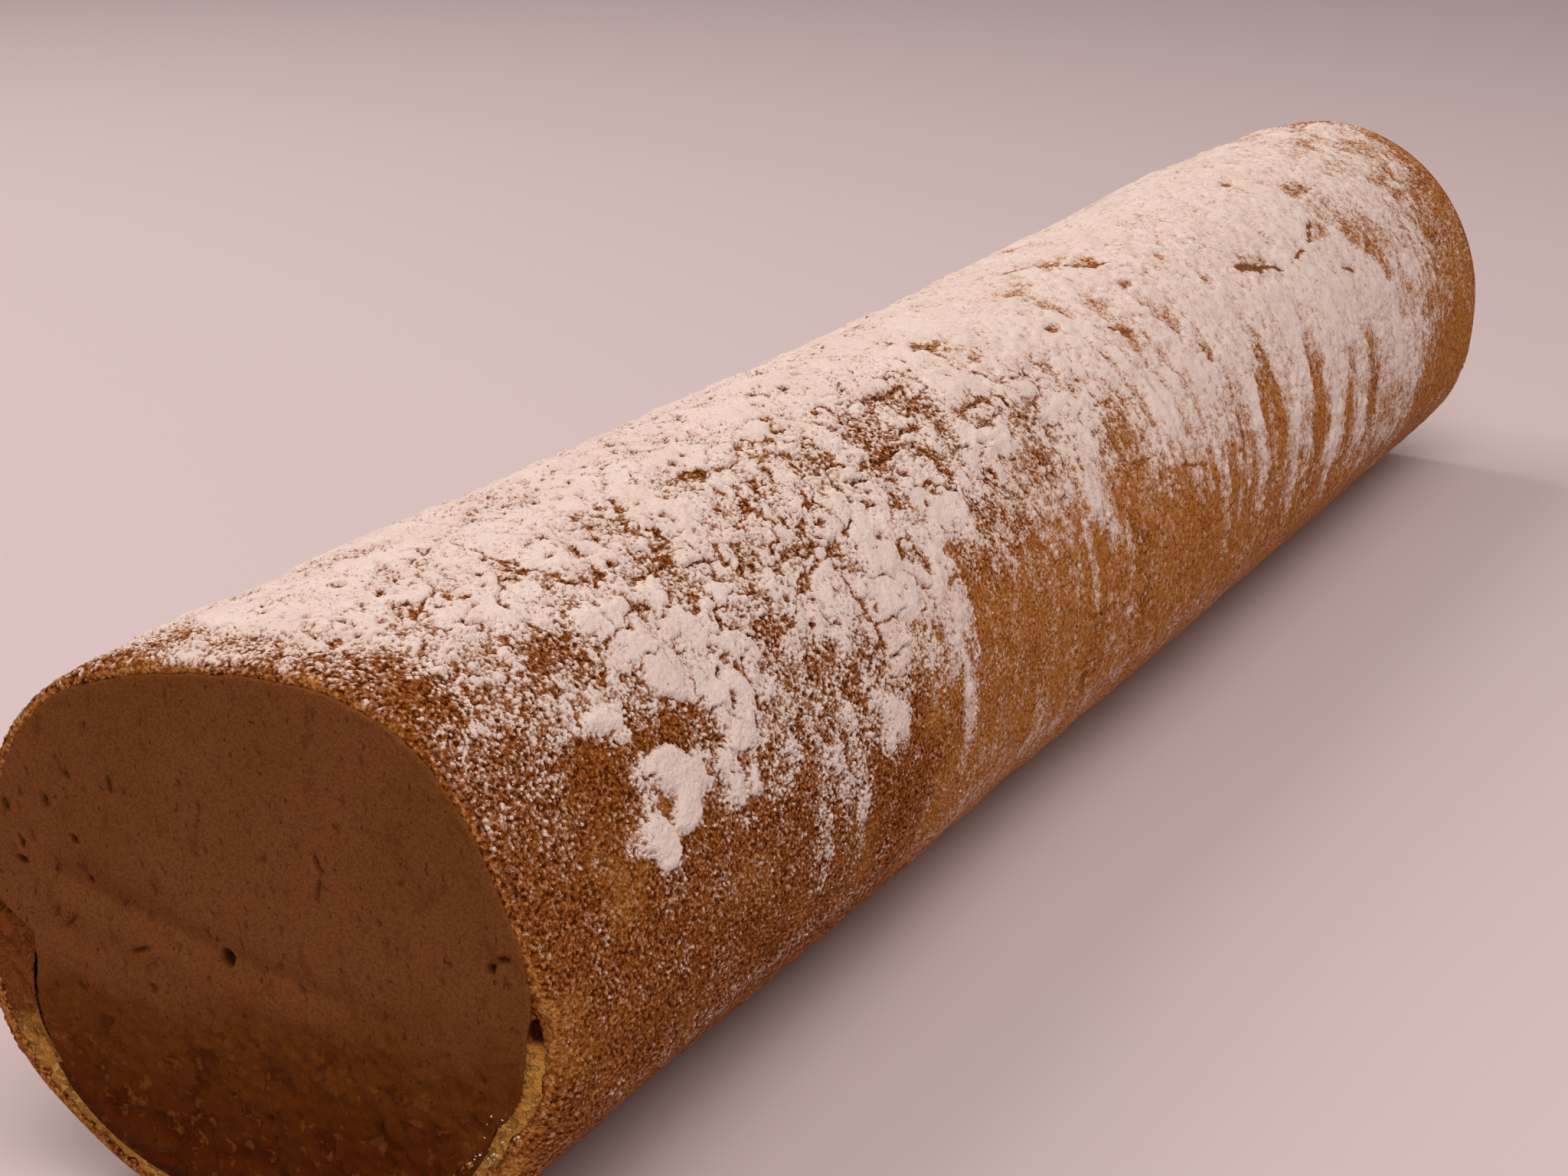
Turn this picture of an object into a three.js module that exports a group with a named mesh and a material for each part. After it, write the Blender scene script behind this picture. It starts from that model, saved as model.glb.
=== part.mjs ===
// A swiss roll: a sheet of plain sponge wrapped once round a thick chocolate truffle core.
// The roll lies along X on its settled underside, its cut face at -X, Z up. Millimetres.
import * as THREE from "three";

// The whole roll
const LENGTH = 400; // on the axis, from one cut face to the other
const WIDTH = 77.2;
const HEIGHT = 80;
const WAIST_HEIGHT = 38.7; // where the section is widest
const BELLY_POWER = 2.3; // 2 is a plain ellipse, more is a fuller belly
const SETTLE = 0.9; // how far the soft underside has pressed flat on the table
const MIDDLE_HEIGHT = HEIGHT / 2; // the section is worked from this point

// The cut faces
const CUT_SKEW_Y = -0.154; // the knife ran a little askew at the front cut
const CUT_SKEW_Z = -0.03;
const FRONT_X = -197.1; // front cut on the axis; the skew carries its corner out to the end of the box
const RIM_DROP = 0.8; // the crust rolls in towards a cut by this much
const RIM_RUN = 3.5; // over this length
const FRONT_SWELL = 38; // and swells by as much behind the front cut, over this length

// The sponge sheet and the truffle core
const SPONGE = 5; // thickness of the sheet
const CLEARANCE = 0.3; // between the sponge and the core
const SMEAR = 0.8; // truffle spread by the knife over the sponge's cut edge
const SMEAR_INSET = 0.9; // it stops this far inside the crust
const BARE_FROM = -6; // degrees: below these two lines the cut edge is bare crumb
const BARE_TO = -183;

const AROUND = 80; // columns round the section
const STEP = 12.5; // rows along the crust

// Out-of-round shape at the front cut: harmonic number, cosine share, sine share
const FRONT_LOBES = [
  [2, 0.0036, -0.0082],
  [3, 0.0022, 0.0078],
  [4, -0.0007, 0.0026],
  [5, -0.0094, -0.0258],
];
const LOBE_REACH = 60; // the lobes fade out over this length

// Swellings and waists: distance from the front cut, reach, height
const CROWN_SWELLS = [
  [165, 80, -0.75],
  [335, 48, 1.35],
];
const FRONT_FLANK_SWELLS = [
  [100, 18, 0.5],
  [150, 25, -0.7],
  [222, 35, 0.7],
  [368, 26, -0.6],
];
const BACK_FLANK_SWELLS = [
  [70, 32, 0.6],
  [190, 45, -0.5],
  [300, 40, 0.6],
];

const smooth = (low, high, v) => THREE.MathUtils.smoothstep(v, low, high);
const hump = (v, [centre, reach, size]) => size * Math.exp(-(((v - centre) / reach) ** 2));
const sum = (list, f) => list.reduce((total, item) => total + f(item), 0);

// The even section: a half ellipse over a fuller belly that is pressed flat underneath.
function evenSection(turn) {
  const c = Math.cos(turn);
  const s = Math.sin(turn);
  const power = s < 0 ? 2 / BELLY_POWER : 1;
  const reach = s < 0 ? WAIST_HEIGHT : HEIGHT - WAIST_HEIGHT;
  const y = (WIDTH / 2) * Math.sign(c) * Math.abs(c) ** power;
  const z = WAIST_HEIGHT + reach * Math.sign(s) * Math.abs(s) ** power;
  const pressed = (z * (HEIGHT + SETTLE)) / HEIGHT - SETTLE;
  return new THREE.Vector2(y, Math.max(0, pressed));
}

const sectionAngle = (p) => Math.atan2(p.y - MIDDLE_HEIGHT, p.x);

// How far the crust stands off the even section, measured from the middle of the section.
function crustRelief(p, fromFront) {
  const angle = sectionAngle(p);
  const above = smooth(2, 16, p.y);
  const lobes = sum(FRONT_LOBES, ([k, c, s]) => c * Math.cos(k * angle) + s * Math.sin(k * angle));
  const radius = Math.hypot(p.x, p.y - MIDDLE_HEIGHT);
  const lobed = lobes * radius * Math.exp(-((fromFront / LOBE_REACH) ** 2));
  const crown = Math.max(0, Math.sin(angle)) * sum(CROWN_SWELLS, (h) => hump(fromFront, h));
  const side = p.x < 0 ? FRONT_FLANK_SWELLS : BACK_FLANK_SWELLS;
  const flank = Math.cos(angle) ** 2 * sum(side, (h) => hump(fromFront, h));
  return above * (lobed + crown + flank);
}

// A point of the section moved out from its middle by a distance in millimetres.
function movedOut(p, distance) {
  const middle = new THREE.Vector2(0, MIDDLE_HEIGHT);
  const away = p.clone().sub(middle);
  return away.setLength(away.length() + distance).add(middle);
}

// A section point carried along the roll. Rows near the front follow the askew cut.
function placed(p, fromFront) {
  const front = FRONT_X + CUT_SKEW_Y * p.x + CUT_SKEW_Z * (p.y - MIDDLE_HEIGHT);
  const back = FRONT_X + LENGTH;
  return [THREE.MathUtils.lerp(front, back, fromFront / LENGTH), p.x, p.y];
}

// Outer crust: the even section, its relief, and the rim rolled in towards the nearer cut.
function crust(turn, fromFront, fromCut) {
  const p = evenSection(turn);
  const run = Math.min(1, fromCut / RIM_RUN);
  const rolled = RIM_DROP * (1 - Math.sqrt(1 - (1 - run) ** 2));
  const lift = hump(fromFront, [0, FRONT_SWELL, RIM_DROP]) * smooth(2, 16, p.y);
  const out = movedOut(p, crustRelief(p, fromFront) + lift - rolled);
  return out.setY(Math.max(0, out.y));
}

// Degrees that a direction lies inside the bare lower arc of the front cut, negative above it.
function bareDepth(turn) {
  const angle = THREE.MathUtils.radToDeg(sectionAngle(evenSection(turn)));
  const fromBack = angle > 90 ? angle - 360 : angle;
  return Math.min(BARE_FROM - fromBack, fromBack - BARE_TO);
}

// A closed surface from rings of points: rows joined in turn, each row closed on itself.
function closedSurface(rows, loop) {
  const count = rows[0].length;
  const points = rows.flat().flat();
  const faces = [];
  const last = loop ? rows.length : rows.length - 1;
  for (let r = 0; r < last; r++) {
    const low = r * count;
    const high = ((r + 1) % rows.length) * count;
    for (let k = 0; k < count; k++) {
      const n = (k + 1) % count;
      faces.push(low + k, low + n, high + n, low + k, high + n, high + k);
    }
  }
  return { points, faces, count };
}

// A fan from one middle point to a ring of the surface closes an end.
function addFan(surface, middle, ring, outwardFirst) {
  const hub = surface.points.length / 3;
  surface.points.push(...middle);
  const start = ring * surface.count;
  for (let k = 0; k < surface.count; k++) {
    const a = start + k;
    const b = start + ((k + 1) % surface.count);
    surface.faces.push(...(outwardFirst ? [hub, b, a] : [hub, a, b]));
  }
}

function geometryOf(surface) {
  const geometry = new THREE.BufferGeometry();
  geometry.setAttribute("position", new THREE.Float32BufferAttribute(surface.points, 3));
  geometry.setIndex(surface.faces);
  geometry.computeVertexNormals();
  return geometry;
}

const turns = Array.from({ length: AROUND }, (_, k) => (2 * Math.PI * k) / AROUND);
const ringOf = (f) => turns.map(f);

// The sponge: crust from front to back, the cut edge, and back along the straight inner wall.
function spongeGeometry() {
  const recess = SMEAR + CLEARANCE;
  const frontEdge = turns.map((turn) => recess * (1 - smooth(2, 9, bareDepth(turn))));
  const backEdge = LENGTH - recess;
  const rounding = [0, 0.18, 0.5, 1];
  const crustRow = (fromEdge, atBack) =>
    turns.map((turn, k) => {
      const along = atBack ? backEdge - fromEdge : frontEdge[k] + fromEdge;
      return placed(crust(turn, along, fromEdge), along);
    });
  const rows = rounding.map((share) => crustRow(share * RIM_RUN, false));
  const middleRows = Math.round((LENGTH - 4 * RIM_RUN) / STEP);
  for (let r = 1; r < middleRows; r++) {
    rows.push(crustRow(RIM_RUN + ((LENGTH - 4 * RIM_RUN) * r) / middleRows, false));
  }
  rows.push(...rounding.toReversed().map((share) => crustRow(share * RIM_RUN, true)));
  const innerRow = (share) =>
    turns.map((turn, k) => {
      const along = THREE.MathUtils.lerp(frontEdge[k], backEdge, share);
      return placed(movedOut(evenSection(turn), -SPONGE), along);
    });
  rows.push(...[1, 0.75, 0.5, 0.25, 0].map(innerRow));
  return geometryOf(closedSurface(rows, true));
}

// The truffle core: it fills the wrap, and each end spreads out over the sponge's cut edge.
function fillingGeometry() {
  const core = (turn) => movedOut(evenSection(turn), -SPONGE - CLEARANCE);
  const edge = (turn, atBack) => {
    const along = atBack ? LENGTH : 0;
    const rim = movedOut(crust(turn, along, 0), -SMEAR_INSET);
    const share = atBack ? 1 : 1 - smooth(-9, -2, bareDepth(turn));
    return core(turn).lerp(rim, Math.max(0.02, share));
  };
  const middle = new THREE.Vector2(0, MIDDLE_HEIGHT);
  const faceRing = (share, atBack) =>
    ringOf((turn) => placed(middle.clone().lerp(edge(turn, atBack), share), atBack ? LENGTH : 0));
  const rows = [
    faceRing(0.35, false),
    faceRing(0.7, false),
    ringOf((turn) => placed(movedOut(edge(turn, false), -0.25), 0)),
    ringOf((turn) => placed(edge(turn, false), 0.25)),
    ringOf((turn) => placed(edge(turn, false), SMEAR)),
    ...[0, 0.25, 0.5, 0.75, 1].map((share) =>
      ringOf((turn) => placed(core(turn), THREE.MathUtils.lerp(SMEAR, LENGTH - SMEAR, share))),
    ),
    ringOf((turn) => placed(edge(turn, true), LENGTH - SMEAR)),
    ringOf((turn) => placed(edge(turn, true), LENGTH - 0.25)),
    ringOf((turn) => placed(movedOut(edge(turn, true), -0.25), LENGTH)),
    faceRing(0.7, true),
    faceRing(0.35, true),
  ];
  const surface = closedSurface(rows, false);
  addFan(surface, placed(middle, 0), 0, true);
  addFan(surface, placed(middle, LENGTH), rows.length - 1, false);
  return geometryOf(surface);
}

const roll = new THREE.Group();

const sponge = new THREE.Mesh(
  spongeGeometry(),
  new THREE.MeshStandardMaterial({ color: 0x9a5a2c, roughness: 0.85, metalness: 0 }),
);
sponge.name = "sponge";
roll.add(sponge);

const filling = new THREE.Mesh(
  fillingGeometry(),
  new THREE.MeshStandardMaterial({ color: 0x63381d, roughness: 0.6, metalness: 0 }),
);
filling.name = "filling";
roll.add(filling);

export default roll;
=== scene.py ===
import math

import bpy
import numpy as np
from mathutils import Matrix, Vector


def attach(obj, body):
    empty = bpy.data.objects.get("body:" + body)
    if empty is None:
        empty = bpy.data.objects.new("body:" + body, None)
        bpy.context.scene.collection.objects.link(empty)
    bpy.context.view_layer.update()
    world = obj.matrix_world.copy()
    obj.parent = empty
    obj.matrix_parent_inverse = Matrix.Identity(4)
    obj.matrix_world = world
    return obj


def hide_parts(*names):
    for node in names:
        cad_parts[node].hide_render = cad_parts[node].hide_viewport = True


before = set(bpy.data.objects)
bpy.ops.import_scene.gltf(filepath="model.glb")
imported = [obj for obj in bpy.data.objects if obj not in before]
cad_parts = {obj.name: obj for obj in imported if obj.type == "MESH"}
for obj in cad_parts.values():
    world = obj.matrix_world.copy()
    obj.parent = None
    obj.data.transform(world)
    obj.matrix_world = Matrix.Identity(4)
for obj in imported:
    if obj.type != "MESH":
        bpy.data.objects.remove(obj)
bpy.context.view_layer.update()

# The viewer stands off the cut face to its right and looks down along the roll.
# The roll lies on a plain pale table in soft light from above and behind.
HEADING, DIP = math.radians(29.37), math.radians(20.09)
TABLE_HALF = 6.0
LIGHT_AIM, LIGHT_TINT = Vector((0, 0, 0.03)), (1.0, 0.84, 0.77)
# Square area lights: name, place, size, watts
LIGHTS = (("window", (0.10, 0.80, 0.95), 0.8, 7.0), ("overhead", (-0.45, -0.45, 1.20), 1.0, 10.2),
          ("room", (-0.9, -1.0, 0.60), 1.2, 1.4))


def add_object(name, data):
    """A new object with its data, linked to the scene."""
    added = bpy.data.objects.new(name, data)
    bpy.context.scene.collection.objects.link(added)
    return added


camera_data = bpy.data.cameras.new("camera")
camera_data.sensor_width, camera_data.lens = 36.0, 59.77
camera = add_object("camera", camera_data)
camera.location = (-0.4070, -0.1918, 0.1894)
look = Vector((math.cos(HEADING) * math.cos(DIP), math.sin(HEADING) * math.cos(DIP), -math.sin(DIP)))
camera.rotation_euler = look.to_track_quat("-Z", "Y").to_euler()
bpy.context.scene.camera = camera
bpy.context.scene.view_settings.view_transform = "Standard"

table_mesh = bpy.data.meshes.new("table")
table_corners = [(x * TABLE_HALF, y * TABLE_HALF, 0) for x, y in ((-1, -1), (1, -1), (1, 1), (-1, 1))]
table_mesh.from_pydata(table_corners, [], [(0, 1, 2, 3)])
table = add_object("table", table_mesh)
table_paint = bpy.data.materials.new("pale_table")
table_paint.use_nodes = True
paint = table_paint.node_tree.nodes["Principled BSDF"].inputs
paint["Base Color"].default_value, paint["Roughness"].default_value = (0.69, 0.625, 0.665, 1), 0.8
table_mesh.materials.append(table_paint)

for name, place, size, watts in LIGHTS:
    light_data = bpy.data.lights.new(name, "AREA")
    light_data.size, light_data.energy, light_data.color = size, watts, LIGHT_TINT
    light = add_object(name, light_data)
    light.location = place
    light.rotation_euler = (LIGHT_AIM - Vector(place)).to_track_quat("-Z", "Y").to_euler()
sky = bpy.data.worlds.new("room_air")
bpy.context.scene.world = sky
sky.use_nodes = True
air = sky.node_tree.nodes["Background"].inputs
air["Color"].default_value, air["Strength"].default_value = (1.0, 0.84, 0.79, 1), 0.25

# The crust: the browned skin of one thin sheet of plain sponge, baked flat and wrapped once round
# the filling. It is finely grained, pulled a little uneven by the rolling, pressed flat underneath,
# split in fine cracks on the crown and rolled in at the cuts. A thin dust of icing sugar clings to it.
LENGTH, WIDTH, HEIGHT = 400.0, 77.2, 80.0
WAIST_HEIGHT, BELLY_POWER, SETTLE = 38.7, 2.3, 0.9
MIDDLE = HEIGHT / 2
FRONT_X, CUT_SKEW_Y, CUT_SKEW_Z = -197.1, -0.154, -0.03
RIM_DROP, RIM_RUN, FRONT_SWELL, LOBE_REACH = 0.8, 3.5, 38.0, 60.0
ROLL_SPREAD = 1.2  # how much longer the rim rolls in for each millimetre of extra drop
FREE_LOW, FREE_HIGH = 2, 16  # heights between which the skin comes free of the table
BARE_FROM, BARE_TO, BARE_EASE = -6.0, -183.0, (-2, 6)  # the arc of bare crumb, in degrees
CRUST_FRONT, BARE_STEP = 0.4, 0.9  # the skin ends this far behind the front cut, and farther at bare crumb
CRUST_BACK = LENGTH - CRUST_FRONT
# Lobes at the front cut: waves round the section, cosine and sine shares of the radius
FRONT_LOBES = ((2, 0.0036, -0.0082), (3, 0.0022, 0.0078), (4, -0.0007, 0.0026), (5, -0.0094, -0.0258))
# Swellings of the crown and of both flanks: distance along, reach, height
CROWN_SWELLS = ((165, 80, -0.75), (335, 48, 1.35))
FRONT_FLANK_SWELLS = ((100, 18, 0.5), (150, 25, -0.7), (222, 35, 0.7), (368, 26, -0.6))
BACK_FLANK_SWELLS = ((70, 32, 0.6), (190, 45, -0.5), (300, 40, 0.6))
# How far the rim rolls in at the front cut: section angle in degrees, drop
FRONT_ROLL = (
    (-90, 1), (-40, 2.2), (-10, 1.2), (10, 0.8), (172, 0.8), (178, 0.4), (186, 1), (194, 1.4), (199, 1.8),
    (203, 2.4), (208, 3), (222, 2.8), (245, 1.6), (270, 1))


def ease(low, high, value):
    """0 at low and beyond it, 1 at high and beyond it, and the curve 3t^2 - 2t^3 between."""
    t = np.clip((value - low) / (high - low), 0.0, 1.0)
    return t * t * (3 - 2 * t)


def bell(value, middle, reach):
    """exp(-t^2), where t is the distance from the middle divided by the reach."""
    return np.exp(-(((value - middle) / reach) ** 2))


def read_table(table, value, column=1):
    """A column of a table, read straight between the rows at a value of the first column."""
    columns = np.transpose(table)
    return np.interp(value, columns[0], columns[column])


def even_section(turn):
    """Half an ellipse above the waist, a fuller superellipse below it, pressed flat on the table."""
    c, s = np.cos(turn), np.sin(turn)
    power = np.where(s < 0, 2 / BELLY_POWER, 1.0)
    reach = np.where(s < 0, WAIST_HEIGHT, HEIGHT - WAIST_HEIGHT)
    y = WIDTH / 2 * np.sign(c) * np.abs(c) ** power
    z = WAIST_HEIGHT + reach * np.sign(s) * np.abs(s) ** power
    return y, np.maximum(0.0, z * (HEIGHT + SETTLE) / HEIGHT - SETTLE)


def section_degrees(turn):
    """Direction from the middle of the section, -90 underneath, 90 at the crown, 180 on the front flank."""
    y, z = even_section(turn)
    return (np.degrees(np.arctan2(z - MIDDLE, y)) + 90) % 360 - 90


def moved_out(y, z, distance):
    """The section point moved away from the middle of the section by distance."""
    radius = np.hypot(y, z - MIDDLE)
    grow = (radius + distance) / radius
    return y * grow, MIDDLE + (z - MIDDLE) * grow


def crust_outline(turn, along, from_cut, extra=0.0):
    """The even section, plus lobes that fade from the front cut, plus bell-shaped swellings along
    the crown and the flanks, minus the quarter-round roll of the rim, plus any extra relief."""
    y, z = even_section(turn)
    angle, radius = np.arctan2(z - MIDDLE, y), np.hypot(y, z - MIDDLE)
    free = ease(FREE_LOW, FREE_HIGH, z)
    lobes = sum(c * np.cos(k * angle) + s * np.sin(k * angle) for k, c, s in FRONT_LOBES)
    lobes = lobes * radius * bell(along, 0, LOBE_REACH)
    swell = lambda bells: sum(high * bell(along, middle, reach) for middle, reach, high in bells)
    crown = np.maximum(0, np.sin(angle)) * swell(CROWN_SWELLS)
    flank = np.cos(angle) ** 2 * np.where(y < 0, swell(FRONT_FLANK_SWELLS), swell(BACK_FLANK_SWELLS))
    lift = RIM_DROP * bell(along, 0, FRONT_SWELL) * free
    drop = np.where(along < LENGTH / 2, read_table(FRONT_ROLL, section_degrees(turn)), RIM_DROP)
    run = RIM_RUN + ROLL_SPREAD * (drop - RIM_DROP)
    roll_in = drop * (1 - np.sqrt(1 - (1 - np.clip(from_cut / run, 0, 1)) ** 2))
    y, z = moved_out(y, z, free * (lobes + crown + flank) + lift - roll_in + extra)
    return y, np.maximum(0.0, z)


def placed(y, z, along):
    """Section points carried along X; rows near the front follow the askew cut. Millimetres."""
    front = FRONT_X + CUT_SKEW_Y * y + CUT_SKEW_Z * (z - MIDDLE)
    x = front + (FRONT_X + LENGTH - front) * along / LENGTH
    return np.stack(np.broadcast_arrays(x, y, z), -1)


def crust_points(turn, along, from_cut, extra=0.0):
    """Points of the crust's outline, carried along the roll."""
    return placed(*crust_outline(turn, along, from_cut, extra), along)


def bare_share(turn):
    """1 in the lower arc of the front cut where the crumb is bare, 0 above it, eased between."""
    degrees = section_degrees(turn)
    degrees = np.where(degrees > 90, degrees - 360, degrees)
    return ease(*BARE_EASE, np.minimum(BARE_FROM - degrees, degrees - BARE_TO))


def front_line(turn):
    """Distance from the front cut at which the skin begins."""
    return CRUST_FRONT + BARE_STEP * bare_share(turn)


def rough_noise(points, size, seed):
    """Gradient noise, about -1 to 1: random slopes on a lattice of the given size in millimetres,
    blended across each cell by 6t^5 - 15t^4 + 10t^3."""
    draw = np.random.default_rng(seed)
    order = np.tile(draw.permutation(256), 2)
    slopes = draw.normal(size=(256, 3))
    slopes /= np.linalg.norm(slopes, axis=1, keepdims=True)
    cell = np.floor(points / size).astype(np.int64)
    part = points / size - cell
    fade = part**3 * (part * (part * 6 - 15) + 10)
    total = np.zeros(points.shape[:-1])
    for corner in np.ndindex(2, 2, 2):
        at = (cell + corner) & 255
        pick = order[order[order[at[..., 0]] + at[..., 1]] + at[..., 2]]
        weight = np.prod(np.where(corner, fade, 1 - fade), axis=-1)
        total += weight * np.sum(slopes[pick] * (part - corner), axis=-1)
    return total * 1.6


def rough_sum(points, *layers):
    """Rough noises added up, each with its own weight, size and seed."""
    return sum(weight * rough_noise(points, size, seed) for weight, size, seed in layers)


def drawn_out(along, walk, share):
    """Points for noise drawn out round the roll: the walk round the section is shortened to a share."""
    return np.stack([along, walk * share, np.zeros_like(along)], -1)


FINE_TURNS = np.linspace(-np.pi / 2, 1.5 * np.pi, 7201)
FINE_WALK = np.concatenate([[0], np.cumsum(np.hypot(*np.diff(even_section(FINE_TURNS), axis=1)))])


def walk_round(turn):
    """Distance along the section's outline from the middle of the underside to a turn."""
    return np.interp(turn, FINE_TURNS, FINE_WALK)


def turn_after(walk):
    """The turn reached after walking a distance along the section's outline."""
    return np.interp(walk, FINE_WALK, FINE_TURNS)


def even_turns(count):
    """Turns that step evenly along the section's outline, from the middle of the underside round."""
    return turn_after(np.arange(count) / count * FINE_WALK[-1])


def turn_degrees(turn):
    """A turn in degrees from -90 to 270, 90 at the crown and 180 at the front waist."""
    return (np.degrees(turn) + 90) % 360 - 90


def skin_at(along, turn):
    """The walk round to points of the skin, their distance from the nearer cut, and their smooth places."""
    from_cut = np.minimum(along - front_line(turn), CRUST_BACK - along)
    return walk_round(turn), from_cut, crust_points(turn, along, from_cut)


MILLIMETRE = 0.001


def new_piece(name, points, corners, sizes):
    """A mesh object from points in millimetres and faces given as corner numbers and face sizes."""
    mesh = bpy.data.meshes.new(name)
    mesh.vertices.add(len(points))
    mesh.vertices.foreach_set("co", (points * MILLIMETRE).astype(np.float32).ravel())
    mesh.loops.add(len(corners))
    mesh.loops.foreach_set("vertex_index", corners.astype(np.int32))
    mesh.polygons.add(len(sizes))
    mesh.polygons.foreach_set("loop_start", (np.cumsum(sizes) - sizes).astype(np.int32))
    mesh.update(calc_edges=True)
    mesh.shade_smooth()
    return add_object(name, mesh)


def tube_piece(name, rows, hubs=None):
    """A closed skin over a grid of points: each row joins to the next and closes on itself. Without hubs
    the last row joins the first, and otherwise a fan from each of two hubs closes the ends."""
    count, around = rows.shape[:2]
    index = np.arange(count * around).reshape(count, around)
    low = index if hubs is None else index[:-1]
    high = np.roll(index, -1, 0) if hubs is None else index[1:]
    corners = np.stack([low, np.roll(low, -1, 1), np.roll(high, -1, 1), high], -1).reshape(-1)
    sizes = np.full(len(corners) // 4, 4)
    points = rows.reshape(-1, 3)
    if hubs is not None:
        first, last = np.full(around, len(points)), np.full(around, len(points) + 1)
        points = np.concatenate([points, hubs])
        fans = np.concatenate([np.stack([first, np.roll(index[0], -1), index[0]], -1),
                               np.stack([last, index[-1], np.roll(index[-1], -1)], -1)])
        corners = np.concatenate([corners, fans.reshape(-1)])
        sizes = np.concatenate([sizes, np.full(2 * around, 3)])
    return new_piece(name, points, corners, sizes)


def mark(piece, name, values):
    """Stores one number for each point of a piece, for its material to read."""
    layer = piece.data.attributes.new(name, "FLOAT", "POINT")
    layer.data.foreach_set("value", np.asarray(values, dtype=np.float32).ravel())


# Where half the sugar ends on the front flank: distance along, turn (90 crown, 180 waist), softness
SUGAR_EDGE_FRONT = (
    (0, 120, 38), (10, 130, 42), (20, 145, 40), (30, 165, 22), (50, 166, 24), (70, 174, 36), (90, 173, 25),
    (110, 171, 24), (119.5, 172, 20), (121, 156, 15), (135, 154, 20), (150, 157, 28), (170, 167, 28),
    (190, 159, 30), (210, 165, 28), (230, 169, 27), (250, 175, 38), (270, 181, 42), (290, 193, 40),
    (310, 194, 38), (330, 195, 35), (350, 204, 40), (362, 178, 50), (372, 160, 52), (388, 130, 44),
    (396, 112, 40), (400, 96, 36))
# The same on the back flank, counted from the crown the other way
SUGAR_EDGE_BACK = (
    (0, 121, 38), (12, 133, 42), (25, 152, 34), (45, 166, 26), (70, 172, 30), (95, 164, 24), (118, 180, 26),
    (140, 172, 24), (160, 159, 24), (185, 176, 26), (205, 164, 26), (230, 180, 30), (255, 168, 34),
    (280, 186, 38), (300, 172, 36), (330, 187, 36), (355, 176, 42), (370, 155, 44), (386, 124, 28),
    (400, 98, 36))
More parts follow.
